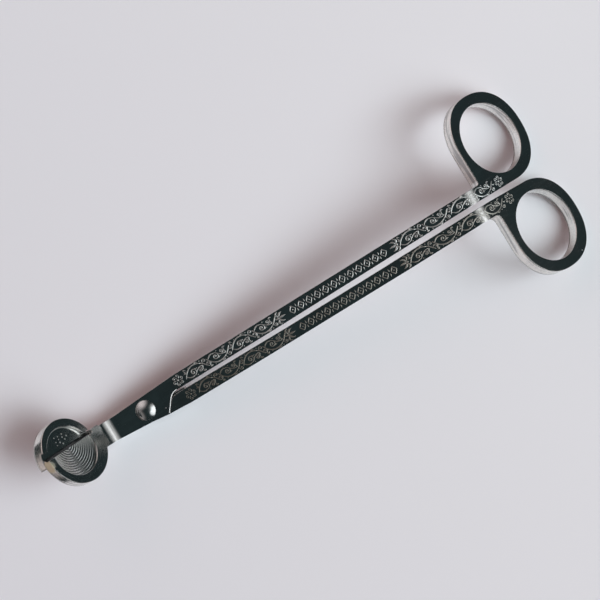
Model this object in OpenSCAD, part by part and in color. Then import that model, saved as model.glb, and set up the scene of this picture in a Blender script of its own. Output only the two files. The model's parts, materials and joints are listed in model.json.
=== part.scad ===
// Wick trimmer: two crossing arms on one pivot, a round two-part cutting tray at
// the raised front end and two finger loops that droop to the surface behind.
// Both arms are drawn lying flat about the pivot, then tipped by rest_tilt so that
// the neck bend and both finger loops stand on the surface.

/* [Arms] */
// Thickness of each half where the two halves cross
plate_t = 3.2; // [2.8:0.1:3.6]
// Thickness of each arm and finger loop
bar_t = 3.6; // [3.2:0.1:4.0]
// Distance from the pivot to the bend at the finger loops
loop_bend_x = 115.8; // [100:0.2:130]
// Radius of the bend at the finger loops, on its outside
loop_bend_r = 8.0; // [6:0.5:10]
// Droop of the upper arm's finger loop below its arm
upper_droop = 41.66; // [38:0.02:44]
// Droop of the lower arm's finger loop below its arm
lower_droop = 40.66; // [37:0.02:43]

/* [Finger loops] */
// Diameter of the hole in each finger loop
loop_bore_d = 22.5; // [20:0.5:25]
// Width of the rim round each finger loop, at its sides
loop_rim = 3.2; // [2.8:0.1:4]
// Distance from the bend to the centre of the upper arm's loop
upper_loop_s = 19.3; // [18:0.1:21]
// Distance from the bend to the centre of the lower arm's loop
lower_loop_s = 20.2; // [19:0.1:22]
// Distance of the upper arm's loop centre to the side
upper_loop_y = 16.35; // [15:0.05:18]
// Distance of the lower arm's loop centre to the side
lower_loop_y = 14.5; // [13.5:0.05:16]

/* [Neck] */
// Distance from the pivot to the neck bend
neck_bend_x = 12.0; // [11:0.2:14]
// Radius of the neck bend, on its inside
neck_bend_r = 6.0; // [5:0.5:7]
// Rise of the cutting tray above the arms
head_rise = 57.2; // [52:0.2:60]
// Half of the width of the neck at the pivot
neck_half_w = 4.1; // [3.8:0.1:4.4]

/* [Cutting tray] */
// Depth of the round recess in each half of the tray
recess_d = 1.2; // [0.8:0.1:1.6]
// Outer radius of the upper half of the tray
upper_tray_r = 11.2; // [10.8:0.1:11.6]
// Outer radius of the lower half of the tray
lower_tray_r = 10.0; // [9.8:0.1:10.4]
// Radius of the recess in the upper half
upper_recess_r = 8.05; // [7.6:0.05:8.4]
// Radius of the recess in the lower half
lower_recess_r = 8.2; // [7.8:0.05:8.5]

/* [Pivot] */
// Diameter of the rivet's shank
shank_d = 3.5; // [3:0.1:4]
// Diameter of the rivet's domed head
rivet_head_d = 6.3; // [5.8:0.1:7]
// Height of the rivet's domed head
rivet_head_h = 1.15; // [0.9:0.05:1.4]

/* [Fits] */
// Gap between the two halves where one slides on the other
slide_gap = 0.04; // [0.03:0.01:0.1]
// Radial clearance of the shank in the upper arm
shank_clearance = 0.05; // [0.02:0.01:0.1]

/* [Hidden] */
$fn = 96;
steel = [0.74, 0.75, 0.76];
eps = 0.05;
far = 60;

// Centre of the neck bend, in the side view (x, z)
neck_centre = [-(neck_bend_x - neck_bend_r * tan(head_rise / 2)), plate_t + neck_bend_r];
// Radii of the neck bend: top of the upper half, the sliding face, underside of the lower half
r_slide = neck_bend_r + plate_t;
r_under = r_slide + plate_t;
// Underside of an arm
bar_z = plate_t - bar_t;

// Outline of each finger loop: half length along the loop, half width across it
loop_a = loop_bore_d / 2 + loop_rim - 0.35;
loop_b = loop_bore_d / 2 + loop_rim;
loop_squareness = 2.25;
loop_centre_shift = 0.3;

// Stations along an arm between which its edges run, and the edges' distances
// to the side as [at the lap, at the bend, bow in the middle]
edge_x0 = 13;
edge_x1 = 113;
upper_outer = [4.9, 6.1, -0.17];
upper_inner = [0.47, 1.9, -0.2];
lower_inner = [-0.47, 0.3, -0.38];
lower_outer = [-5.03, -4.2, -0.25];
edge_steps = 16;
// Length by which each arm runs on over its loop's bend, and the small step by
// which the web of the upper loop stands in from its arm's outer edge
bend_overlap = 3;
web_inset = 0.02;

// Shoulder where the lap plate of one half stops against the other arm
step_foot = [6.0, -4.4];
step_angle = 52.4;
step_r = 3.5;
step_gap = 0.15;
lip_w = 0.35;
boss_end_x = 14.5;
boss_slope = 2.5;

// Cutting tray, as [distance from the neck bend, distance to the side] of each centre
upper_tray_c = [15.0, 1.6];
upper_recess_c = [16.0, 1.25];
lower_tray_c = [15.9, 1.45];
lower_recess_c = [16.2, 1.1];
neck_top_y = 3.5;
neck_end_s = 6.8;
blade_edge_y = 3.5;
blade_floor_y = 2.35;
blade_skew = 1.8;
blade_mid_s = 17;
lower_blade_y = 0.3;
lower_rim_y = 4.5;
lower_rim_skew = 1.9;

washer_t = 0.5;
washer_d = 6.0;
tail_h = 0.3;
tail_d = 4.6;

// Points of an arc from angle a0 to angle a1
function arc(c, r, a0, a1, n = 10) =
    [for (i = [0:n]) let (a = a0 + (a1 - a0) * i / n) [c[0] + r * cos(a), c[1] + r * sin(a)]];
function reversed(list) = [for (i = [len(list) - 1:-1:0]) list[i]];

// Side view of the neck at one radius of its bend, from the arm to beyond the tray
function neck_path(r) =
    concat([[far, neck_centre[1] - r]],
           arc(neck_centre, r, -90, -90 - head_rise),
           [neck_centre + r * [-sin(head_rise), -cos(head_rise)]
            + far * [-cos(head_rise), sin(head_rise)]]);
// Side view of an arm and its loop at one radius of the loop's bend
function loop_path(r, droop) =
    let (c = [loop_bend_x - loop_bend_r * tan(droop / 2), plate_t - loop_bend_r])
    concat([[0, c[1] + r]],
           arc(c, r, 90, 90 - droop),
           [c + r * [sin(droop), cos(droop)] + far * [cos(droop), -sin(droop)]]);
// Distance to the side of an arm's edge at station x
function edge(e, x) =
    let (t = (x - edge_x0) / (edge_x1 - edge_x0)) e[0] + (e[1] - e[0]) * t + 4 * e[2] * t * (1 - t);
// Edge from the lap to the loop's bend, and level with the arm over the bend
function edge_line(e) =
    concat([for (i = [0:edge_steps])
                let (x = edge_x0 + (edge_x1 - edge_x0) * i / edge_steps)
                [x, edge(e, x)]],
           [[edge_x1 + bend_overlap, edge(e, edge_x1)]]);
// Half of the lap's width at station x
function lap_half(x) = neck_half_w + 0.06 * x;
// Shoulder line: a slant from its foot, then a round into the arm's inner edge at the given level
function shoulder(level, gap) =
    let (foot = step_foot + gap * [sin(step_angle), -cos(step_angle)],
         corner = [foot[0] + (level - foot[1]) / tan(step_angle), level],
         tangent = step_r * tan(step_angle / 2),
         centre = [corner[0] + tangent, level - step_r])
    concat([foot], arc(centre, step_r, 90 + step_angle, 90, 6));
function mirrored(points) = [for (p = points) [p[0], -p[1]]];

// Points on the side view: at distance s beyond a bend and height h over the top face
function loop_point(s, h, droop) =
    [loop_bend_x + s * cos(droop) + h * sin(droop), plate_t - s * sin(droop) + h * cos(droop)];
function head_point(s, h) =
    [-neck_bend_x - s * cos(head_rise) + h * sin(head_rise),
     plate_t + s * sin(head_rise) + h * cos(head_rise)];

// Tilt at which the neck bend and the end of the lower loop stand at one height
loop_foot = loop_point(lower_loop_s + loop_a, -bar_t, lower_droop);
foot_run = loop_foot[0] - neck_centre[0];
foot_drop = neck_centre[1] - loop_foot[1];
rest_tilt = atan2(foot_drop, foot_run) - asin(r_under / norm([foot_run, foot_drop]));
function tipped(p) = [p[0] * cos(rest_tilt) - p[1] * sin(rest_tilt),
                      p[0] * sin(rest_tilt) + p[1] * cos(rest_tilt)];
pivot_z = -tipped(loop_foot)[1];
front_x = tipped(head_point(lower_tray_c[0] + lower_tray_r, -2 * plate_t))[0];
back_x = tipped(loop_point(lower_loop_s + loop_a, 0, lower_droop))[0];
centre_x = (front_x + back_x) / 2;
centre_y = (upper_loop_y - lower_loop_y) / 2;

module placed() {
    translate([-centre_x, -centre_y, pivot_z]) rotate([0, -rest_tilt, 0]) children();
}
// A side view, as thick as the whole object is wide
module slab(points) {
    rotate([90, 0, 0]) translate([0, 0, -far]) linear_extrude(2 * far) polygon(points);
}
// A plan view of the flat arms
module plan(points, z0 = -far, z1 = far) {
    translate([0, 0, z0]) linear_extrude(z1 - z0) polygon(points);
}
// Frame of a finger loop: x runs away from the bend, z = 0 on its top face
module loop_frame(droop) {
    translate([loop_bend_x, 0, plate_t]) rotate([0, droop, 0]) children();
}
// Frame of the cutting tray: x runs away from the neck, z = 0 on the sliding face
module head_frame() {
    translate([-neck_bend_x, 0, plate_t]) rotate([0, head_rise, 0]) mirror([1, 0, 0])
        translate([0, 0, -plate_t]) children();
}

// Round inside corner between an arm's edge and the side of its loop
module corner_fillet(x, y, r, up) {
    difference() {
        translate([x - r, up > 0 ? y - eps : y - r, 0]) square([r + 2 * eps, r + eps]);
        translate([x - r, y + up * r]) circle(r);
    }
}
// Finger loop with the web that joins it to its arm, in its own frame
module loop_plan(s, y, web_inner, web_outer, side, fillet_r) {
    centre_s = s + loop_centre_shift;
    left = centre_s - loop_a;
    loop_inner = y - side * loop_b;
    translate([centre_s, y])
        polygon([for (a = [0:3.75:356.25])
            [loop_a * sign(cos(a)) * pow(abs(cos(a)), 2 / loop_squareness),
             loop_b * sign(sin(a)) * pow(abs(sin(a)), 2 / loop_squareness)]]);
    polygon([[edge_x1 - loop_bend_x, web_inner], [left, web_inner], [centre_s, loop_inner], [centre_s, y],
             [left, y], [left, web_outer], [edge_x1 - loop_bend_x, web_outer]]);
    corner_fillet(left, web_outer, fillet_r, side);
}
// Arm from the lap to the loop: its plan, bent down at the finger loop
module arm_and_loop(outline, droop, s, y, web_inner, web_outer, side, fillet_r) {
    intersection() {
        slab(concat(loop_path(loop_bend_r, droop), reversed(loop_path(loop_bend_r - bar_t, droop))));
        union() {
            plan(outline, -loop_bend_r);
            loop_frame(droop) translate([0, 0, -bar_t - 1]) linear_extrude(bar_t + 2)
                loop_plan(s, y, web_inner, web_outer, side, fillet_r);
        }
    }
}
module loop_bore(s, y, droop) {
    loop_frame(droop) translate([s, y, -bar_t - 1]) cylinder(d = loop_bore_d, h = bar_t + 2);
}

// Plan of the neck and lap, up to the shoulder, of the upper half; mirrored, of the lower half
lap_outline = concat(
    [[-neck_bend_x, -lap_half(-neck_bend_x)]],
    shoulder(upper_inner[0], 0),
    [[edge_x0, edge(upper_inner, edge_x0)]],
    [[edge_x0, edge(upper_outer, edge_x0)]],
    [[-neck_bend_x, lap_half(-neck_bend_x)]]);
// Strip by which the lower half's lap stands out past the upper half's, on its own arm's side
lip_outline = [[-2, 0], [-2, -lap_half(-2)], [step_foot[0] - 1, step_foot[1] - lip_w],
               [edge_x0, edge(lower_outer, edge_x0)], [edge_x0, 0]];
// Plan of each arm beyond the shoulder
upper_arm_outline = concat(
    mirrored(shoulder(-upper_inner[0], step_gap)),
    edge_line(upper_inner),
    reversed(edge_line(upper_outer)));
lower_arm_outline = concat(
    shoulder(lower_inner[0], step_gap),
    edge_line(lower_inner),
    reversed(edge_line(lower_outer)));

// Neck in the tray's frame, for one layer
module neck_strip(z0, z1) {
    translate([-neck_bend_r, -lap_half(-neck_bend_x), z0])
        cube([neck_end_s + neck_bend_r, neck_top_y + lap_half(-neck_bend_x), z1 - z0]);
}
// Everything on the side of a skewed line across the tray, as a plan
module beyond_line(y, skew) {
    translate([blade_mid_s, y]) rotate(skew) translate([-far, 0]) square([2 * far, far]);
}
// Upper half of the tray: a round plate, recessed, with a bevelled cutting edge
module upper_tray() {
    difference() {
        head_frame() difference() {
            translate([upper_tray_c[0], upper_tray_c[1], slide_gap])
                cylinder(r = upper_tray_r, h = plate_t - slide_gap, $fn = 144);
            translate([0, 0, -eps]) linear_extrude(plate_t + 1) beyond_line(blade_edge_y, -blade_skew);
        }
        blade_sweep();
    }
}
// What the upper tray loses above the sliding face: the recess and the bevel
module upper_tray_cuts() {
    head_frame() {
        translate([upper_recess_c[0], upper_recess_c[1], plate_t - recess_d])
            cylinder(r = upper_recess_r, h = recess_d + 1, $fn = 144);
        translate([blade_mid_s, 0, 0]) rotate(-blade_skew) rotate([90, 0, 90])
            translate([0, 0, neck_end_s - blade_mid_s]) linear_extrude(far)
                polygon([[blade_edge_y, 0],
                         [blade_floor_y, plate_t - recess_d],
                         [blade_floor_y, plate_t + 1],
                         [blade_edge_y + 1, plate_t + 1],
                         [blade_edge_y + 1, 0]]);
    }
}
// Space that the lower half's top face sweeps about the pivot, on the cutting side
module blade_sweep() {
    path = [for (p = neck_path(r_slide - 2 * slide_gap)) if (p[0] < 0) [-p[0], p[1]]];
    rotate_extrude(angle = 90, start = 90, $fn = 180)
        polygon(concat([[path[0][0] - 1, -far], [path[0][0] - 1, path[0][1]]], path, [[far, -far]]));
}

module upper_arm() {
    color(steel) placed() difference() {
        union() {
            difference() {
                intersection() {
                    slab(concat(neck_path(neck_bend_r), reversed(neck_path(r_slide - slide_gap))));
                    union() {
                        plan(lap_outline, -1);
                        head_frame() neck_strip(-1, plate_t + 1);
                    }
                }
                blade_sweep();
            }
            upper_tray();
            arm_and_loop(upper_arm_outline, upper_droop, upper_loop_s, upper_loop_y,
                         edge(upper_inner, edge_x1), edge(upper_outer, edge_x1) - web_inset, 1, 1.0);
        }
        upper_tray_cuts();
        translate([0, 0, -far]) cylinder(d = shank_d + 2 * shank_clearance, h = 2 * far);
        loop_bore(upper_loop_s, upper_loop_y, upper_droop);
    }
}

// Lower half of the tray: a round plate under the blade, with a rim standing above it
module lower_tray() {
    head_frame() difference() {
        union() {
            difference() {
                translate([lower_tray_c[0], lower_tray_c[1], -plate_t])
                    cylinder(r = lower_tray_r, h = plate_t, $fn = 144);
                translate([0, lower_blade_y - far, -plate_t - 1]) cube([far, far, plate_t + 2]);
            }
            intersection() {
                translate([lower_tray_c[0], lower_tray_c[1], -1])
                    cylinder(r = lower_tray_r, h = 1 + recess_d, $fn = 144);
                translate([0, 0, -1]) linear_extrude(2 + recess_d) beyond_line(lower_rim_y, lower_rim_skew);
            }
        }
        translate([lower_recess_c[0], lower_recess_c[1], 0])
            cylinder(r = lower_recess_r, h = recess_d + 1, $fn = 144);
    }
}
module lower_arm() {
    color(steel) placed() difference() {
        union() {
            intersection() {
                slab(concat(neck_path(r_slide), reversed(neck_path(r_under))));
                union() {
                    plan(mirrored(lap_outline), -far, 0.5);
                    plan(lip_outline, -far, 0.5);
                    head_frame() mirror([0, 0, 1]) neck_strip(-1, plate_t + 1);
                }
            }
            // Boss that carries the lap under the arm, sloped off behind
            intersection() {
                slab([[edge_x0 - 1, 0], [edge_x0 - 1, -plate_t], [boss_end_x, -plate_t],
                      [boss_end_x + boss_slope, bar_z], [boss_end_x + boss_slope, 0]]);
                plan(lower_arm_outline);
            }
            lower_tray();
            arm_and_loop(lower_arm_outline, lower_droop, lower_loop_s, -lower_loop_y,
                         edge(lower_inner, edge_x1), edge(lower_outer, edge_x1), -1, 2.0);
        }
        translate([0, 0, -far]) cylinder(d = shank_d, h = 2 * far);
        loop_bore(lower_loop_s, -lower_loop_y, lower_droop);
    }
}

// Cap of a sphere on a round base, standing on z = 0
module dome(d, h) {
    ball_r = (d * d / 4 + h * h) / (2 * h);
    half_angle = asin(d / 2 / ball_r);
    rotate_extrude()
        polygon(concat([[0, 0]], [for (p = arc([0, h - ball_r], ball_r, 90 - half_angle, 90, 12))
                                  [max(p[0], 0), max(p[1], 0)]]));
}
module pivot_rivet() {
    tail_z = -plate_t - washer_t;
    color(steel) placed() {
        translate([0, 0, plate_t + slide_gap]) dome(rivet_head_d, rivet_head_h);
        translate([0, 0, tail_z - tail_h / 2])
            cylinder(d = shank_d, h = plate_t + slide_gap - tail_z + tail_h);
        translate([0, 0, tail_z]) mirror([0, 0, 1]) dome(tail_d, tail_h);
    }
}
module rivet_washer() {
    color(steel) placed() translate([0, 0, -plate_t - washer_t]) difference() {
        cylinder(d = washer_d, h = washer_t);
        translate([0, 0, -1]) cylinder(d = shank_d, h = washer_t + 2);
    }
}

upper_arm();
lower_arm();
pivot_rivet();
rivet_washer();
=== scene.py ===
import json
import math

import bmesh
import bpy
from mathutils import Matrix, Vector


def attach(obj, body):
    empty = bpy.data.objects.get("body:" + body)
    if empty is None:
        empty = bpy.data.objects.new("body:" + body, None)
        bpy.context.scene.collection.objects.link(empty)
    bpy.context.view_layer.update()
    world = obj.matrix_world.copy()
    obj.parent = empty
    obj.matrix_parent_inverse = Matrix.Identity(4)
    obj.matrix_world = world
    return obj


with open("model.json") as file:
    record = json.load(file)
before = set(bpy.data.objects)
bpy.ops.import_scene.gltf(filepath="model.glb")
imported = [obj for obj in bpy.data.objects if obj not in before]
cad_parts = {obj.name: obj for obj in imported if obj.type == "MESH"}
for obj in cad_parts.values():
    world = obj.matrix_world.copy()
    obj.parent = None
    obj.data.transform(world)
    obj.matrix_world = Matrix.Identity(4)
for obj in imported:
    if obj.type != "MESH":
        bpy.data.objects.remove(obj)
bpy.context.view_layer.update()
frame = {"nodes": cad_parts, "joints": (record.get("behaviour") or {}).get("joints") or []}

# Visual model of a wick trimmer: a finish for each of the four CAD solids, and pieces of its own for
# the etched ornament, the tray floors and the residue of use, on a table under studio light.
# Lengths are in millimetres, and MM turns them into metres.
MM = 0.001
nodes = frame["nodes"]
joint = frame["joints"][0]

# Frame of the flat arms: the pivot, and the tilt at which the trimmer rests
pivot = Vector(joint["pos_m"])
arm_tilt = math.atan2(-joint["axis"][0], joint["axis"][2])
arm_turn = Matrix.Rotation(-arm_tilt, 3, "Y")

# Dimensions of the steel parts, in millimetres and degrees
PLATE_T = 3.2
LOOP_BEND_X = 115.8
LOOP_BEND_R = 8.0
UPPER_DROOP = 41.66
LOWER_DROOP = 40.66
NECK_BEND_X = 12.0
HEAD_RISE = 57.2
RECESS_D = 1.2
UPPER_RECESS = (16.0, 1.25, 8.05)
LOWER_RECESS = (16.2, 1.1, 8.2)
BLADE_MID_S = 17.0
BLADE_FLOOR_Y = 2.35
BLADE_SKEW = 1.8
TRAY_LEAN = 0.035
SHOULDER_FOOT = (6.0, -4.4)
SHOULDER_ANGLE = 52.4
SHOULDER_R = 3.5
CHAMFER_W = 0.21
CHAMFER_ANGLE = 24.0
GROUND_DEPTH = RECESS_D + 0.8
GROUND_WIDTH = 1.15

# Edges of the arms, each as (y at EDGE_X0, y at EDGE_X1, bow between them)
EDGE_X0 = 13.0
EDGE_X1 = 113.0
UPPER_OUTER = (4.9, 6.1, -0.17)
UPPER_INNER = (0.47, 1.9, -0.2)
LOWER_INNER = (-0.47, 0.3, -0.38)
LOWER_OUTER = (-5.03, -4.2, -0.25)

# Stations of the etched fields along each arm
FRONT_END = 51.2
BAND_START = 52.6
BAND_END = 87.2
REAR_START = 88.2
REAR_END = 130.2

# Corner angle above which an edge is crisp, and the angle up to which facets count as one flat
CRISP_ANGLE = 25.0
FLAT_ANGLE = 0.4
WELD_GAP = 0.002

# Scales of the finish along, across and up the steel: polishing lines on the faces,
# brush marks across the sides, and streaks along the sides
POLISH_GRAIN = (260, 5200, 5200)
BRUSH_GRAIN = (1500, 1500, 50)
STREAK_GRAIN = (80, 80, 1200)

# Other values of the finish: painted reflection that lightens and warms the sides, how far edges are
# broken (times
# SIDE_ROUNDING on the sides), painted near-black reflection on the ground bevel, and blur at the
# chamfer's borders
SIDE_PAINTED_REFLECTION = (1.52, 1.45, 1.39)
EDGE_BREAK = 0.12
SIDE_ROUNDING = 9
GROUND_PAINTED_DARK = (0.05, 0.05, 0.052)
BLUR = 0.01

# Table, light and camera
NEAR_TABLE_R = 0.125
FAR_TABLE_R = 1.6
ROOM_COLOUR = (0.022, 0.033, 0.035)
BACKDROP_COLOUR = (0.72, 0.72, 0.73, 1)
MIRRORED_LIMIT = 1.5
MIRRORED_GREYING = 0.75
CAMERA_LENS = 85
CAMERA_PLACE = (1.95, 3.43, 434)
CAMERA_TURN = -31.2


# ---------------------------------------------------------------- frames

def arm_point(x, y, z):
    """A point of the flat arms: x from the pivot, z = 0 on the sliding face."""
    return pivot + arm_turn @ Vector((x, y, z)) * MM


def head_point(s, y, z):
    """A point of the cutting tray: s beyond the neck bend, z = 0 on the sliding face."""
    rise = math.radians(HEAD_RISE)
    h = z - PLATE_T
    x = -NECK_BEND_X - s * math.cos(rise) + h * math.sin(rise)
    return arm_point(x, y, PLATE_T + s * math.sin(rise) + h * math.cos(rise))


tray_away = (head_point(1, 0, 0) - head_point(0, 0, 0)).normalized()
tray_up = (head_point(0, 0, 1) - head_point(0, 0, 0)).normalized()
ground_facing = (Vector((0, GROUND_DEPTH, 0)) + tray_up * GROUND_WIDTH).normalized()


def along_top(droop):
    """Places (distance along the top face, distance to the side, height) over the loop's bend."""
    bend = math.radians(droop)
    start = LOOP_BEND_X - LOOP_BEND_R * math.tan(bend / 2)

    def place(s, y, h):
        turn = min(max(s - start, 0) / LOOP_BEND_R, bend)
        past = max(0, s - start - LOOP_BEND_R * bend)
        r = LOOP_BEND_R + h
        x = min(s, start) + r * math.sin(turn) + past * math.cos(bend)
        z = PLATE_T - LOOP_BEND_R + r * math.cos(turn) - past * math.sin(bend)
        return arm_point(x, y, z)

    return place


def arm_edge(e, x):
    t = min(max((x - EDGE_X0) / (EDGE_X1 - EDGE_X0), 0), 1)
    return e[0] + (e[1] - e[0]) * t + 4 * e[2] * t * (1 - t)


def centre_line(inner, outer):
    return lambda s: (arm_edge(inner, s) + arm_edge(outer, s)) / 2


# ---------------------------------------------------------------- node trees

def node(tree, kind, inputs=(), **settings):
    """Adds a node; inputs is a dict of socket name or index to a value or another socket."""
    n = tree.nodes.new(kind)
    for key, value in settings.items():
        setattr(n, key, value)
    for key, value in dict(inputs).items():
        if isinstance(value, bpy.types.NodeSocket):
            tree.links.new(value, n.inputs[key])
        else:
            n.inputs[key].default_value = value
    return n


def maths(tree, operation, a, b=0.0, clamp=False):
    return node(tree, "ShaderNodeMath", {0: a, 1: b}, operation=operation, use_clamp=clamp).outputs[0]


def times(tree, a, b):
    return maths(tree, "MULTIPLY", a, b)


def plus(tree, a, b, clamp=False):
    return maths(tree, "ADD", a, b, clamp)


def span(tree, value, a, b, to_a=0.0, to_b=1.0, smooth=False):
    """Maps value from a..b to to_a..to_b, clamped."""
    kind = "SMOOTHSTEP" if smooth else "LINEAR"
    return node(tree, "ShaderNodeMapRange", {"Value": value, "From Min": a, "From Max": b, "To Min": to_a,
                                             "To Max": to_b}, interpolation_type=kind).outputs["Result"]


def noise(tree, vector, scale, detail=2.0, rough=0.5):
    return node(tree, "ShaderNodeTexNoise", {"Vector": vector, "Scale": scale, "Detail": detail,
                                             "Roughness": rough}).outputs["Fac"]


def vector_maths(tree, operation, a, b):
    return node(tree, "ShaderNodeVectorMath", {0: a, 1: b}, operation=operation).outputs[0]


def stretched(tree, vector, amount):
    return node(tree, "ShaderNodeVectorMath", {0: vector, "Scale": amount}, operation="SCALE").outputs[0]


def dot(tree, a, b):
    return node(tree, "ShaderNodeVectorMath", {0: a, 1: b}, operation="DOT_PRODUCT").outputs["Value"]


def distance(tree, a, b):
    return node(tree, "ShaderNodeVectorMath", {0: a, 1: b}, operation="DISTANCE").outputs["Value"]


def mixed(tree, factor, a, b):
    """Mixes two colours or colour sockets."""
    n = tree.nodes.new("ShaderNodeMix")
    n.data_type = "RGBA"
    for socket, value in ((n.inputs[0], factor), (n.inputs[6], a), (n.inputs[7], b)):
        if isinstance(value, bpy.types.NodeSocket):
            tree.links.new(value, socket)
        elif isinstance(value, tuple):
            socket.default_value = (*value, 1)
        else:
            socket.default_value = value
    return n.outputs[2]


def new_material(name):
    m = bpy.data.materials.new(name)
    m.use_nodes = True
    tree = m.node_tree
    return m, tree, tree.nodes["Principled BSDF"]


def frame_coordinates(tree):
    """Position along, across and above the steel, and how far a face is turned from its edges:
    over 0.5 on the flats and bends, under 0.3 on the sides and walls."""
    coords = tree.nodes.new("ShaderNodeTexCoord")
    place = vector_maths(tree, "SUBTRACT", coords.outputs["Object"], tuple(pivot))
    along = dot(tree, place, tuple(arm_turn @ Vector((1, 0, 0))))
    bends = (math.radians(HEAD_RISE), 0, math.radians((UPPER_DROOP + LOWER_DROOP) / 2))
    ups = [tuple(arm_turn @ Vector((math.sin(bend), 0, math.cos(bend)))) for bend in bends]
    at_loop = span(tree, along, (LOOP_BEND_X - 0.1) * MM, LOOP_BEND_X * MM)
    at_head = span(tree, along, -NECK_BEND_X * MM, (-NECK_BEND_X - 0.1) * MM)
    head, arm, loop = (dot(tree, place, up) for up in ups)
    height = node(tree, "ShaderNodeMix", {0: at_loop, 2: arm, 3: loop}).outputs[0]
    height = node(tree, "ShaderNodeMix", {0: at_head, 2: height, 3: head}).outputs[0]
    across = dot(tree, place, (0, 1, 0))
    vector = node(tree, "ShaderNodeCombineXYZ", {0: along, 1: across, 2: height}).outputs[0]
    head, arm, loop = (maths(tree, "ABSOLUTE", dot(tree, coords.outputs["Normal"], up)) for up in ups)
    facing = maths(tree, "MAXIMUM", maths(tree, "MINIMUM", arm, head),
                   maths(tree, "MINIMUM", arm, loop))
    return vector, facing


def shoulder_chamfer(tree, place):
    """Lean of the narrow chamfer along the shoulder of the upper half's lap plate."""
    slant = math.radians(SHOULDER_ANGLE)
    out = Vector((math.sin(slant), -math.cos(slant), 0))
    turn_x = SHOULDER_FOOT[0] + (UPPER_INNER[0] - SHOULDER_FOOT[1]) / math.tan(slant)
    centre = Vector((turn_x + SHOULDER_R * math.tan(slant / 2), UPPER_INNER[0] - SHOULDER_R, 0))
    join_y = centre.y + SHOULDER_R * math.cos(slant)
    x, y, z = node(tree, "ShaderNodeSeparateXYZ", {0: place}).outputs
    past = maths(tree, "SUBTRACT", dot(tree, place, tuple(out)),
                 out.dot(Vector((*SHOULDER_FOOT, 0))) * MM)
    flat = node(tree, "ShaderNodeCombineXYZ", {0: x, 1: y}).outputs[0]
    past_round = maths(tree, "SUBTRACT", SHOULDER_R * MM, distance(tree, flat, tuple(centre * MM)))
    on_round = times(tree, span(tree, y, join_y * MM, (join_y + BLUR) * MM),
                     span(tree, x, (centre.x + BLUR) * MM, centre.x * MM))
    on_slant = span(tree, y, (join_y + BLUR) * MM, join_y * MM)
    strips = [times(tree, on, span(tree, away, -(CHAMFER_W + 0.04) * MM, -CHAMFER_W * MM))
              for on, away in ((on_slant, past), (on_round, past_round))]
    strip = times(tree, plus(tree, strips[0], strips[1]),
                  span(tree, z, (PLATE_T - 0.1) * MM, (PLATE_T - 0.05) * MM))
    size = times(tree, strip, math.tan(math.radians(CHAMFER_ANGLE)))
    return stretched(tree, tuple(arm_turn @ out), size)


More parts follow.
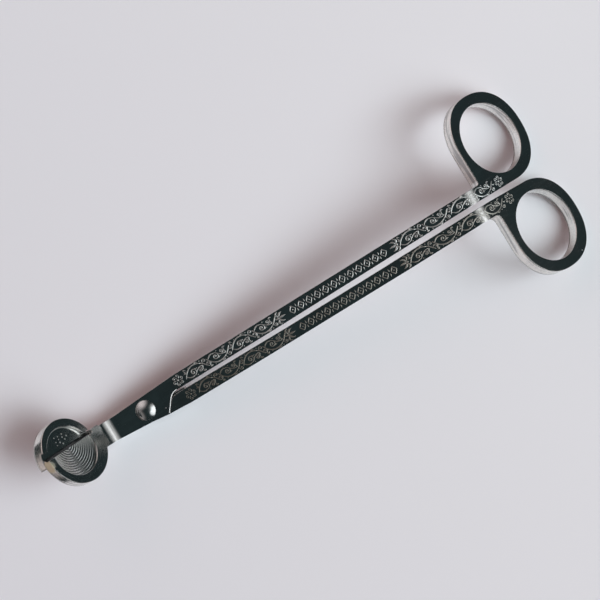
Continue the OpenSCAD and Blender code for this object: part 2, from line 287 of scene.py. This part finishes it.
def polished_steel(name, colour, haze, dust, stains=(), shoulder=False):
    """Mirror-polished stainless steel: polishing lines along it, brushed sides, smears and dust.
    Each stain is (centre in the shared frame, radius, colour), and shoulder adds the chamfer
    along the lap plate."""
    m, tree, shader = new_material(name)
    place, facing = frame_coordinates(tree)
    coords = tree.nodes.new("ShaderNodeTexCoord")
    side = span(tree, facing, 0.45, 0.33, smooth=True)
    polish = noise(tree, vector_maths(tree, "MULTIPLY", place, POLISH_GRAIN), 1.0, 3.0)
    brush = noise(tree, vector_maths(tree, "MULTIPLY", place, BRUSH_GRAIN), 1.0, 2.0)
    streak = noise(tree, vector_maths(tree, "MULTIPLY", place, STREAK_GRAIN), 1.0, 2.0)
    smear = noise(tree, place, 140, 4.0, 0.6)
    grain = noise(tree, place, 4200, 2.0)
    cells = node(tree, "ShaderNodeTexVoronoi", {"Vector": place, "Scale": 520.0, "Randomness": 1.0})
    pick = node(tree, "ShaderNodeSeparateColor", {0: cells.outputs["Color"]}).outputs[0]
    mote = times(tree, span(tree, cells.outputs["Distance"], 0.16, 0.06),
                 span(tree, pick, 1 - dust, 1 - dust + 0.02))
    # roughness
    rough = span(tree, smear, 0.4, 0.7, haze, haze + 0.10)
    rough = plus(tree, rough, span(tree, polish, 0.5, 0.8, 0.0, 0.04))
    rough = plus(tree, rough, times(tree, side, span(tree, brush, 0.3, 0.7, 0.02, 0.14)))
    rough = plus(tree, rough, times(tree, mote, 0.5), clamp=True)
    # colour
    tone = mixed(tree, span(tree, smear, 0.35, 0.65), tuple(min(1, c * 1.15) for c in colour),
                 tuple(c * 0.75 for c in colour))
    tone = mixed(tree, span(tree, polish, 0.5, 0.8, 0.0, 0.6), tone,
                 tuple(min(1, c * 1.45) for c in colour))
    tone = mixed(tree, span(tree, grain, 0.45, 0.75, 0.0, 0.3), tone,
                 tuple(min(1, c * 1.2) for c in colour))
    # painted reflection: the sides are made lighter and warmer, like the pale table they mirror, broken
    # up by the brush marks
    painted_side_reflection = tuple(min(1, c * gain) for c, gain in zip(colour, SIDE_PAINTED_REFLECTION))
    tone = mixed(tree, times(tree, side, span(tree, brush, 0.38, 0.6, 0.55, 1.0)), tone, painted_side_reflection)
    tone = mixed(tree, times(tree, side, span(tree, streak, 0.52, 0.62, 0.0, 0.75)), tone,
                 tuple(c * 0.55 for c in colour))
    for centre, radius, tint in stains:
        gap = distance(tree, coords.outputs["Object"], tuple(centre))
        patch = span(tree, plus(tree, gap, times(tree, smear, 1.5 * MM)),
                     (radius + 1.0) * MM, (radius + 0.3) * MM)
        tone = mixed(tree, patch, tone, tint)
        rough = plus(tree, rough, times(tree, patch, 0.3), clamp=True)
    # painted reflection: the ground bevel along the blade is painted near-black, standing in for the dark
    # surroundings it mirrors
    ground = span(tree, dot(tree, coords.outputs["Normal"], tuple(ground_facing)), 0.97, 0.99)
    tone = mixed(tree, ground, tone, GROUND_PAINTED_DARK)
    tree.links.new(tone, shader.inputs["Base Color"])
    tree.links.new(rough, shader.inputs["Roughness"])
    shader.inputs["Metallic"].default_value = 1.0
    # relief: the tray's face was polished a little off its true plane
    along = node(tree, "ShaderNodeSeparateXYZ", {0: place}).outputs[0]
    lean = stretched(tree, tuple(tray_away),
                     span(tree, along, -9 * MM, -14 * MM, 0.0, TRAY_LEAN, smooth=True))
    if shoulder:
        lean = vector_maths(tree, "ADD", lean, shoulder_chamfer(tree, place))
    leaning = vector_maths(tree, "ADD", coords.outputs["Normal"], lean)
    leaning = node(tree, "ShaderNodeVectorTransform", {0: leaning}, vector_type="NORMAL",
                   convert_from="OBJECT", convert_to="WORLD").outputs[0]
    soft = span(tree, side, 0.0, 1.0, EDGE_BREAK * MM, SIDE_ROUNDING * EDGE_BREAK * MM)
    broken = node(tree, "ShaderNodeBevel", {"Radius": soft, "Normal": leaning}, samples=8).outputs[0]
    relief = plus(tree, times(tree, polish, 0.25), times(tree, side, brush))
    relief = plus(tree, relief, times(tree, smear, 0.6))
    relief = plus(tree, relief, times(tree, mote, 1.5))
    bump = node(tree, "ShaderNodeBump", {"Strength": 0.4, "Distance": 0.012 * MM, "Height": relief,
                                         "Normal": broken})
    tree.links.new(bump.outputs[0], shader.inputs["Normal"])
    return m


def etched_metal(name, colour, shade, rough, front_darkening):
    """Etched ornament: matte silver with a sandy grain, darker patches of wear, and darker towards the
    front.
    """
    m, tree, shader = new_material(name)
    coords = tree.nodes.new("ShaderNodeTexCoord").outputs["Object"]
    grain = noise(tree, coords, 9000, 3.0, 0.6)
    wear = noise(tree, coords, 420, 3.0, 0.6)
    tone = mixed(tree, span(tree, wear, 0.35, 0.7), colour, shade)
    tone = mixed(tree, span(tree, grain, 0.35, 0.7, 0.0, 0.6), tone, shade)
    along = node(tree, "ShaderNodeSeparateXYZ", {0: coords}).outputs[0]
    # darker towards the front of the arm, by front_darkening
    tone = mixed(tree, span(tree, along, 45 * MM, -30 * MM, 0.0, front_darkening), tone, (0.16, 0.145, 0.12))
    tree.links.new(tone, shader.inputs["Base Color"])
    tree.links.new(span(tree, grain, 0.3, 0.8, rough, rough + 0.2), shader.inputs["Roughness"])
    shader.inputs["Metallic"].default_value = 1.0
    bump = node(tree, "ShaderNodeBump", {"Strength": 0.5, "Distance": 0.01 * MM, "Height": grain})
    tree.links.new(bump.outputs[0], shader.inputs["Normal"])
    return m


def turned_steel(name, colour, shade, rough):
    """Tray floor: machined steel, dull between its cutter lines, with stains of old wax, and painted
    reflection that darkens it towards the neck.
    """
    m, tree, shader = new_material(name)
    coords = tree.nodes.new("ShaderNodeTexCoord").outputs["Object"]
    grain = noise(tree, coords, 6500, 3.0, 0.6)
    stain = noise(tree, coords, 380, 4.0, 0.6)
    tone = mixed(tree, span(tree, stain, 0.4, 0.7), colour, shade)
    # painted reflection: darker towards the neck end, standing in for the dark room mirrored by the
    # cutter lines there
    out = dot(tree, vector_maths(tree, "SUBTRACT", coords, tuple(head_point(16, 0, 0))),
              tuple(tray_away))
    tone = mixed(tree, span(tree, out, 6 * MM, -6 * MM, 0.0, 0.6), tone, (0.14, 0.16, 0.16))
    tree.links.new(tone, shader.inputs["Base Color"])
    tree.links.new(span(tree, plus(tree, grain, stain), 0.7, 1.3, rough, rough + 0.15),
                   shader.inputs["Roughness"])
    shader.inputs["Metallic"].default_value = 1.0
    bump = node(tree, "ShaderNodeBump", {"Strength": 0.4, "Distance": 0.008 * MM, "Height": grain})
    tree.links.new(bump.outputs[0], shader.inputs["Normal"])
    return m


def wax_material(name):
    """Cloudy, slightly translucent candle wax."""
    m, tree, shader = new_material(name)
    coords = tree.nodes.new("ShaderNodeTexCoord").outputs["Object"]
    cloud = noise(tree, coords, 2500, 3.0)
    tree.links.new(mixed(tree, cloud, (0.34, 0.33, 0.31), (0.24, 0.235, 0.22)),
                   shader.inputs["Base Color"])
    tree.links.new(span(tree, cloud, 0.3, 0.7, 0.3, 0.5), shader.inputs["Roughness"])
    shader.inputs["Subsurface Weight"].default_value = 0.2
    shader.inputs["Subsurface Radius"].default_value = (0.0004, 0.0003, 0.0002)
    return m


# ---------------------------------------------------------------- mesh helpers

def make_object(name, bm, material, smooth=True):
    mesh = bpy.data.meshes.new(name)
    bmesh.ops.recalc_face_normals(bm, faces=bm.faces)
    for f in bm.faces:
        f.smooth = smooth
    bm.to_mesh(mesh)
    bm.free()
    obj = bpy.data.objects.new(name, mesh)
    bpy.context.scene.collection.objects.link(obj)
    mesh.materials.append(material)
    return obj


def add_ribs(strokes, place, relief):
    """Low rounded ribs along strokes of (x, y, half width) points, on a face that place() lays out."""
    bm = bmesh.new()
    profile = ((-1.0, -0.3), (-0.72, 0.62), (0.0, 1.0), (0.72, 0.62), (1.0, -0.3))
    for stroke in strokes:
        rings = []
        last = len(stroke) - 1
        for i, (x, y, w) in enumerate(stroke):
            ax, ay, _ = stroke[max(i - 1, 0)]
            bx, by, _ = stroke[min(i + 1, last)]
            length = math.hypot(bx - ax, by - ay) or 1.0
            nx, ny = -(by - ay) / length, (bx - ax) / length
            rise = relief * min(1.0, w / 0.12)
            rings.append([bm.verts.new(place(x + nx * w * k, y + ny * w * k, rise * h))
                          for k, h in profile])
        count = len(profile)
        for a, b in zip(rings, rings[1:]):
            for k in range(count):
                bm.faces.new((a[k], a[(k + 1) % count], b[(k + 1) % count], b[k]))
        bm.faces.new(rings[0])
        bm.faces.new(list(reversed(rings[-1])))
    return bm


# ---------------------------------------------------------------- ornament

def curve(points, w0, w1, w2=None, steps=14):
    """Smooth stroke through four control points, from half width w0 over w1 to w2."""
    w2 = w0 if w2 is None else w2
    out = []
    for i in range(steps + 1):
        t = i / steps
        u = 1 - t
        k = (u * u * u, 3 * u * u * t, 3 * u * t * t, t * t * t)
        x = sum(c * p[0] for c, p in zip(k, points))
        y = sum(c * p[1] for c, p in zip(k, points))
        w = (w0 * u + w2 * t) * (1 - math.sin(math.pi * t)) + w1 * math.sin(math.pi * t)
        out.append((x, y, max(w, 0.02)))
    return out


def spiral(cx, cy, r, turns, start, hand, w=0.15):
    """Scroll that winds in from radius r, thickening to a bud at its heart."""
    straight = 0.16
    steps = int(18 * turns) + 2
    out = []
    for i in range(steps + 1):
        t = i / steps
        radius = r * (1 - t) ** 0.8 * (1 - straight) + r * straight * (1 - t)
        a = start + hand * turns * 2 * math.pi * t
        width = w * (0.55 + 0.6 * t) + (0.09 * max(0, t - 0.85) / 0.15)
        out.append((cx + radius * math.cos(a), cy + radius * math.sin(a), width))
    return out


def leaf(x, y, angle, length, w=0.26, bow=0.18):
    """Curved teardrop leaf from its stalk at (x, y)."""
    c, s = math.cos(angle), math.sin(angle)
    out = []
    for i in range(9):
        t = i / 8
        side = bow * length * math.sin(math.pi * t)
        width = w * math.sin(math.pi * min(0.06 + t ** 0.8 * 0.94, 0.97))
        out.append((x + c * t * length - s * side, y + s * t * length + c * side, max(width, 0.03)))
    return out


def bead(x, y, r):
    return [(x - r, y, r * 0.35), (x - r * 0.5, y, r * 0.9), (x, y, r), (x + r * 0.5, y, r * 0.9),
            (x + r, y, r * 0.35)]


def rosette(cx, cy, r, petals=6):
    """Open flower: a ring of curled petals round a bead."""
    out = [bead(cx, cy, 0.17 * r)]
    for i in range(petals):
        a = 2 * math.pi * i / petals + 0.3
        x, y = cx + 0.68 * r * math.cos(a), cy + 0.68 * r * math.sin(a)
        out.append(spiral(x, y, 0.33 * r, 0.95, a + math.pi * 1.15, 1.0, 0.075 * r))
        out.append(leaf(cx + 0.3 * r * math.cos(a + 0.5), cy + 0.3 * r * math.sin(a + 0.5), a + 0.5,
                        0.45 * r, 0.07 * r, 0.1))
    return out


def palmette(x, y, facing, size):
    """Fan of five leaves from one stalk."""
    out = [bead(x, y, 0.16 * size)]
    for k in range(-2, 3):
        a = facing + k * 0.62
        out.append(leaf(x + 0.2 * size * math.cos(a), y + 0.2 * size * math.sin(a), a,
                        size * (1.0 - 0.12 * abs(k)), 0.15 * size, 0.22 * k))
    return out


def scroll_unit(x, length, up):
    """One wave of the vine: an arching stem over a large scroll, small scrolls, buds and leaves."""
    def at(fx, fy):
        return (x + fx * length, up * fy)

    pi = math.pi
    out = [curve([at(0.0, -1.1), at(0.16, 1.4), at(0.42, 2.4), at(0.74, 0.9)], 0.12, 0.2, 0.14, 18)]
    out.append(curve([at(0.74, 0.9), at(0.86, 0.45), at(0.9, -0.5), at(1.0, -1.1)], 0.14, 0.19, 0.12))
    out.append(spiral(*at(0.36, -0.3), 1.15, 1.5, up * -0.65 * pi, up * 1.0, 0.2))
    out.append(curve([at(0.05, -0.5), at(0.12, -1.3), at(0.22, -1.7), at(0.33, -1.45)],
                     0.09, 0.19, 0.1, 10))
    out.append(spiral(*at(0.63, -0.85), 0.68, 1.15, up * 0.6 * pi, up * -1.0, 0.17))
    out.append(spiral(*at(0.9, 1.05), 0.68, 1.1, up * 1.15 * pi, up * -1.0, 0.17))
    out.append(curve([at(0.46, -0.95), at(0.56, -0.1), at(0.62, 0.2), at(0.76, 0.15)],
                     0.08, 0.16, 0.1, 10))
    out.append(leaf(*at(0.5, 1.35), up * 0.06 * pi, 1.4, 0.24, up * 0.3))
    out.append(leaf(*at(0.14, 0.35), up * 0.66 * pi, 1.35, 0.24, up * 0.25))
    out.append(leaf(*at(0.11, 0.0), up * 0.86 * pi, 1.1, 0.2, up * -0.25))
    out.append(leaf(*at(0.8, 0.1), up * -0.55 * pi, 1.5, 0.24, up * -0.25))
    out.append(leaf(*at(0.78, 0.2), up * -0.8 * pi, 1.05, 0.2, up * 0.25))
    out.append(leaf(*at(0.94, -0.3), up * 0.04 * pi, 1.0, 0.2, up * 0.3))
    out.append(leaf(*at(0.02, 1.55), up * -0.12 * pi, 1.0, 0.2, up * 0.25))
    out.append(leaf(*at(0.45, 0.62), up * -0.08 * pi, 0.9, 0.17, up * -0.3))
    out.append(leaf(*at(0.84, -1.55), up * 0.9 * pi, 1.15, 0.2, up * 0.25))
    out.append(bead(*at(0.74, 1.65), 0.17))
    out.append(bead(*at(0.47, -1.62), 0.16))
    out.append(bead(*at(0.25, 1.6), 0.14))
    return out


def vine(x0, x1, units, rosette_first):
    """Vine from x0 to x1, with a rosette at one end and a palmette at the other."""
    room = 4.3
    fan = 2.7
    first = room if rosette_first else fan
    last = fan if rosette_first else room
    length = (x1 - x0 - first - last) / units
    out = []
    for i in range(units):
        out += scroll_unit(x0 + first + i * length, length, 1 if i % 2 == 0 else -1)
    if rosette_first:
        out += rosette(x0 + 1.9, 0.0, 1.85)
        out += palmette(x1 - 2.2, 0.0, 0.0, 2.1)
    else:
        out += palmette(x0 + 2.2, 0.0, math.pi, 2.1)
        out += rosette(x1 - 1.9, 0.0, 1.85)
    return out


def lozenge_band(x0, x1, count):
    """Plain running band: outlined lozenges with a bead in each, and small leaves between."""
    pitch = (x1 - x0) / count
    out = []
    for i in range(count):
        x = x0 + (i + 0.5) * pitch
        half, tall = 0.34 * pitch, 1.22
        corners = [(x - half, 0), (x, tall), (x + half, 0), (x, -tall)]
        for a, b in zip(corners, corners[1:] + corners[:1]):
            mid = [(a[0] + (b[0] - a[0]) * k, a[1] + (b[1] - a[1]) * k) for k in (0, 1 / 3, 2 / 3, 1)]
            out.append(curve(mid, 0.1, 0.17, 0.1, 6))
        out.append(bead(x, 0, 0.2))
        if i < count - 1:
            gap = x + pitch / 2
            out.append(leaf(gap, 0.28, math.pi / 2, 0.95, 0.17, 0.0))
            out.append(leaf(gap, -0.28, -math.pi / 2, 0.95, 0.17, 0.0))
    return out


def add_ornament(prefix, body, droop, inner, outer, material, start, relief):
    """Three etched fields along one arm: vine, plain band, and vine over the bend to the loop."""
    lay = along_top(droop)
    middle = centre_line(inner, outer)

    def place(x, y, h):
        return lay(x, y + middle(x), h)

    fields = (("scroll_front", vine(start, FRONT_END, units=4, rosette_first=True)),
              ("band", lozenge_band(BAND_START, BAND_END, count=12)),
              ("scroll_rear", vine(REAR_START, REAR_END, units=4, rosette_first=False)))
    for name, strokes in fields:
        piece = make_object(prefix + "_" + name, add_ribs(strokes, place, relief), material)
        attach(piece, body)


# ---------------------------------------------------------------- tray floors

def turned_floor(name, centre, recess, z, dish, ridge, pitch, material, cut):
    """Dished floor patch with concentric cutter ridges about a centre, filling a round recess.
    The ridges fade towards the tray's outer end."""
    bm = bmesh.new()
    sides = 180
    step = pitch / 6
    fade_end, fade_run, faintest = 23.0, 7.0, 0.15
    cx, cy = centre
    rx, ry, rr = recess
    rings = int(2 * rr / step) + 1
    columns = []
    for i in range(sides):
        a = 2 * math.pi * i / sides
        dx, dy = math.cos(a), math.sin(a)
        ox, oy = cx - rx, cy - ry
        b = ox * dx + oy * dy
        reach = -b + math.sqrt(b * b - (ox * ox + oy * oy - rr * rr))
        column = []
        for k in range(1, rings + 1):
            r = min(k * step, reach)
            x, y = cx + r * dx, cy + r * dy
            out = math.hypot(x - rx, y - ry) / rr
            fade = min(1.0, max(faintest, (fade_end - x) / fade_run))
            h = z + dish * out * out + ridge * fade * (0.5 - 0.5 * math.cos(2 * math.pi * r / pitch))
            column.append(bm.verts.new((x, y, h)))
        columns.append(column)
    out0 = math.hypot(cx - rx, cy - ry) / rr
    heart = bm.verts.new((cx, cy, z + dish * out0 * out0))
    for i in range(sides):
        a, b = columns[i], columns[(i + 1) % sides]
        bm.faces.new((heart, a[0], b[0]))
        for k in range(rings - 1):
            bm.faces.new((a[k], a[k + 1], b[k + 1], b[k]))
    bmesh.ops.remove_doubles(bm, verts=bm.verts, dist=1e-5)
    point, away = cut
    everything = list(bm.verts) + list(bm.edges) + list(bm.faces)
    bmesh.ops.bisect_plane(bm, geom=everything, plane_co=point, plane_no=away, clear_outer=True)
    for v in bm.verts:
        v.co = head_point(v.co.x, v.co.y, v.co.z)
    return make_object(name, bm, material)


def foot_ring(name, recess, z, size, a0, a1, material):
    """Hollow fillet at the foot of a recess wall, from angle a0 to angle a1."""
    rx, ry, rr = recess
    bm = bmesh.new()
    steps = 72
    rings = []
    for i in range(steps + 1):
        a = math.radians(a0 + (a1 - a0) * i / steps)
        section = [(rr - size + size * math.sin(t), z + size - size * math.cos(t))
                   for t in (math.pi / 2 * k / 5 for k in range(6))]
        section.append((rr + 0.02, z - 0.02))
        rings.append([bm.verts.new(head_point(rx + r * math.cos(a), ry + r * math.sin(a), h))
                      for r, h in section])
    for a, b in zip(rings, rings[1:]):
        for k in range(len(a)):
            bm.faces.new((a[k], a[(k + 1) % len(a)], b[(k + 1) % len(a)], b[k]))
    bm.faces.new(rings[0])
    bm.faces.new(list(reversed(rings[-1])))
    return make_object(name, bm, material)


def wax_specks(name, centre, spread, count, material):
    """Small round specks of set wax, spaced like seeds about a centre."""
    bm = bmesh.new()
    golden = math.pi * (3 - math.sqrt(5))
    for i in range(count):
        a = golden * i + 0.4
        d = spread * math.sqrt((i + 0.5) / count)
        cx, cy = centre[0] + d * math.cos(a) * 1.5, centre[1] + d * math.sin(a)
        r = 0.17 + 0.09 * ((i * 7) % 5) / 4
        top = bm.verts.new(head_point(cx, cy, 0.09))
        rings = []
        for share, h in ((0.5, 0.075), (0.85, 0.045), (1.0, -0.005)):
            rings.append([bm.verts.new(head_point(cx + share * r * math.cos(math.pi * k / 6),
                                                  cy + share * r * math.sin(math.pi * k / 6), h))
                          for k in range(12)])
        for k in range(12):
            n = (k + 1) % 12
            bm.faces.new((top, rings[0][k], rings[0][n]))
            bm.faces.new((rings[0][k], rings[1][k], rings[1][n], rings[0][n]))
            bm.faces.new((rings[1][k], rings[2][k], rings[2][n], rings[1][n]))
        bm.faces.new(rings[2])
    return make_object(name, bm, material)


# ---------------------------------------------------------------- steel parts

def finish_steel(obj, material):
    """Gives an exact solid its finish, with smooth bends, true flats and crisp edges."""
    obj.data.materials.clear()
    obj.data.materials.append(material)
    obj.data.polygons.foreach_set("use_smooth", [True] * len(obj.data.polygons))
    weld = obj.modifiers.new("weld", "WELD")
    weld.merge_threshold = WELD_GAP * MM
    flats = obj.modifiers.new("flats", "DECIMATE")
    flats.decimate_type = "DISSOLVE"
    flats.angle_limit = math.radians(FLAT_ANGLE)
    corners = obj.modifiers.new("corners", "EDGE_SPLIT")
    corners.split_angle = math.radians(CRISP_ANGLE)
    corners.use_edge_sharp = False
    normals = obj.modifiers.new("normals", "WEIGHTED_NORMAL")
    normals.mode = "FACE_AREA"
    normals.weight = 100
    normals.keep_sharp = False


tan_stain = (head_point(26.0, 0.5, 1.6), 2.0, (0.78, 0.70, 0.53))
steel_upper = polished_steel("steel_upper", (0.60, 0.61, 0.61), haze=0.05, dust=0.05,
                             stains=(tan_stain,), shoulder=True)
steel_lower = polished_steel("steel_lower", (0.58, 0.59, 0.585), haze=0.06, dust=0.07)
steel_rivet = polished_steel("steel_rivet", (0.52, 0.535, 0.535), haze=0.15, dust=0.03)
steel_washer = polished_steel("steel_washer", (0.55, 0.55, 0.54), haze=0.2, dust=0.05)
finish_steel(nodes["upper_arm"], steel_upper)
finish_steel(nodes["lower_arm"], steel_lower)
finish_steel(nodes["pivot_rivet"], steel_rivet)
finish_steel(nodes["rivet_washer"], steel_washer)

silver = etched_metal("etched_silver", colour=(0.80, 0.80, 0.78), shade=(0.50, 0.49, 0.47),
                      rough=0.34, front_darkening=0.2)
tan_silver = etched_metal("etched_tan", colour=(0.56, 0.53, 0.48), shade=(0.34, 0.32, 0.29),
                          rough=0.40, front_darkening=0.8)
add_ornament("upper", "upper_half", UPPER_DROOP, UPPER_INNER, UPPER_OUTER, silver,
             start=11.4, relief=0.07)
add_ornament("lower", "lower_half", LOWER_DROOP, LOWER_INNER, LOWER_OUTER, tan_silver,
             start=12.6, relief=0.05)

skew = math.radians(BLADE_SKEW)
upper_cut = (Vector((BLADE_MID_S, BLADE_FLOOR_Y, 0)), Vector((math.sin(skew), math.cos(skew), 0)))
turned = turned_steel("turned_upper", colour=(0.84, 0.84, 0.82), shade=(0.66, 0.65, 0.63), rough=0.12)
# the fillets at the foot of the recess walls are darker and browner than the floor
foot_brown = turned_steel("brown_foot", colour=(0.60, 0.57, 0.52), shade=(0.40, 0.37, 0.33), rough=0.30)
wax = wax_material("old_wax")
floor_z = PLATE_T - RECESS_D
upper_floor = turned_floor("upper_tray_turning", centre=(17.0, 3.4), recess=UPPER_RECESS,
                           z=floor_z + 0.01, dish=0.5, ridge=0.085, pitch=0.76,
                           material=turned, cut=upper_cut)
upper_foot = foot_ring("upper_tray_foot", UPPER_RECESS, z=floor_z + 0.45, size=0.3,
                       a0=-172, a1=4, material=foot_brown)
lower_foot = foot_ring("lower_tray_foot", LOWER_RECESS, z=0.0, size=0.32,
                       a0=27, a1=153, material=foot_brown)
specks = wax_specks("lower_tray_specks", centre=(16.2, 5.9), spread=1.9, count=11, material=wax)
for piece, body, slot in ((upper_floor, "upper_half", "upper_steel"),
                          (upper_foot, "upper_half", "upper_steel"),
                          (lower_foot, "lower_half", "lower_steel"),
                          (specks, "lower_half", "lower_steel")):
    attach(piece, body)


# ---------------------------------------------------------------- stage, light and camera

def ring_of(bm, radius, count=96):
    turns = [2 * math.pi * i / count for i in range(count)]
    return [bm.verts.new((radius * math.cos(a), radius * math.sin(a), 0)) for a in turns]


def make_floor():
    """Pale table top with painted light, lighter towards +X. Its far part is not mirrored in the steel,
    like a table in a dark room.
    """
    m, tree, shader = new_material("table_paint")
    coords = tree.nodes.new("ShaderNodeTexCoord").outputs["Object"]
    cloud = noise(tree, coords, 7, 3.0)
    tooth = noise(tree, coords, 1400, 3.0)
    # painted light: the table is lighter towards +X, the side of the window light, and darker towards -X
    slant = dot(tree, coords, (0.92, -0.03, 0))
    tone = mixed(tree, span(tree, slant, -0.1, 0.1), (0.755, 0.745, 0.775), (0.845, 0.84, 0.86))
    tone = mixed(tree, span(tree, cloud, 0.3, 0.7, 0.0, 0.25), tone, (0.79, 0.78, 0.79))
    tree.links.new(tone, shader.inputs["Base Color"])
    tree.links.new(span(tree, tooth, 0.3, 0.7, 0.5, 0.62), shader.inputs["Roughness"])
    shader.inputs["Specular IOR Level"].default_value = 0.3
    bump = node(tree, "ShaderNodeBump", {"Strength": 0.15, "Distance": 0.02 * MM, "Height": tooth})
    tree.links.new(bump.outputs[0], shader.inputs["Normal"])
    bm = bmesh.new()
    bm.faces.new(ring_of(bm, NEAR_TABLE_R))
    make_object("floor", bm, m, smooth=False)
    bm = bmesh.new()
    inner, outer = ring_of(bm, NEAR_TABLE_R), ring_of(bm, FAR_TABLE_R)
    for i in range(len(inner)):
        k = (i + 1) % len(inner)
        bm.faces.new((inner[i], outer[i], outer[k], inner[k]))
    beyond = make_object("floor_beyond", bm, m, smooth=False)
    beyond.visible_glossy = False


def make_light():
    """Soft studio surroundings: a large window-like light, a rosy fill and dark room between."""
    world = bpy.data.worlds.new("studio")
    bpy.context.scene.world = world
    world.use_nodes = True
    tree = world.node_tree
    tree.nodes.clear()
    toward = tree.nodes.new("ShaderNodeTexCoord").outputs["Generated"]
    # azimuth from +X, elevation, inner and outer half angles, colour, strength
    lobes = ((-31, 42, 10, 24, (0.88, 1.0, 1.05), 6.9),
             (-57, 43, 8, 28, (0.92, 1.0, 1.04), 3.2),
             (-12, 46, 4, 34, (1.0, 0.93, 0.87), 0.85),
             (110, 28, 10, 50, (1.36, 0.82, 0.78), 0.9),
             (185, 12, 5, 50, (1.36, 0.82, 0.76), 0.52))
    total = None
    for azimuth, elevation, inner, outer, colour, strength in lobes:
        az, el = math.radians(azimuth), math.radians(elevation)
        aim = (math.cos(el) * math.cos(az), math.cos(el) * math.sin(az), math.sin(el))
        off = maths(tree, "ARCCOSINE", dot(tree, toward, aim))
        glow = span(tree, off, math.radians(outer), math.radians(inner), 0.0, strength, smooth=True)
        part = stretched(tree, colour, glow)
        total = part if total is None else vector_maths(tree, "ADD", total, part)
    # the steel mirrors the same light evened out, so that it keeps its own colour and its detail
    path = tree.nodes.new("ShaderNodeLightPath")
    grey = tree.nodes.new("ShaderNodeRGBToBW")
    tree.links.new(total, grey.inputs[0])
    even = mixed(tree, MIRRORED_GREYING, total, grey.outputs[0])
    even = vector_maths(tree, "MINIMUM", even, (MIRRORED_LIMIT,) * 3)
    total = mixed(tree, path.outputs["Is Glossy Ray"], total, even)
    total = vector_maths(tree, "ADD", total, ROOM_COLOUR)
    lit = node(tree, "ShaderNodeBackground", {"Color": total, "Strength": 1.0})
    seen = node(tree, "ShaderNodeBackground", {"Color": BACKDROP_COLOUR, "Strength": 1.0})
    pick = node(tree, "ShaderNodeMixShader", {0: path.outputs["Is Camera Ray"], 1: lit.outputs[0],
                                              2: seen.outputs[0]})
    out = tree.nodes.new("ShaderNodeOutputWorld")
    tree.links.new(pick.outputs[0], out.inputs["Surface"])


def make_camera():
    """Straight down from above the table, turned so that the trimmer runs up to the right."""
    data = bpy.data.cameras.new("camera")
    data.lens = CAMERA_LENS
    data.clip_start, data.clip_end = 0.01, 10
    cam = bpy.data.objects.new("camera", data)
    bpy.context.scene.collection.objects.link(cam)
    cam.location = [v * MM for v in CAMERA_PLACE]
    cam.rotation_euler = (0, 0, math.radians(CAMERA_TURN))
    bpy.context.scene.camera = cam


make_floor()
make_light()
make_camera()
bpy.context.scene.view_settings.view_transform = "Standard"
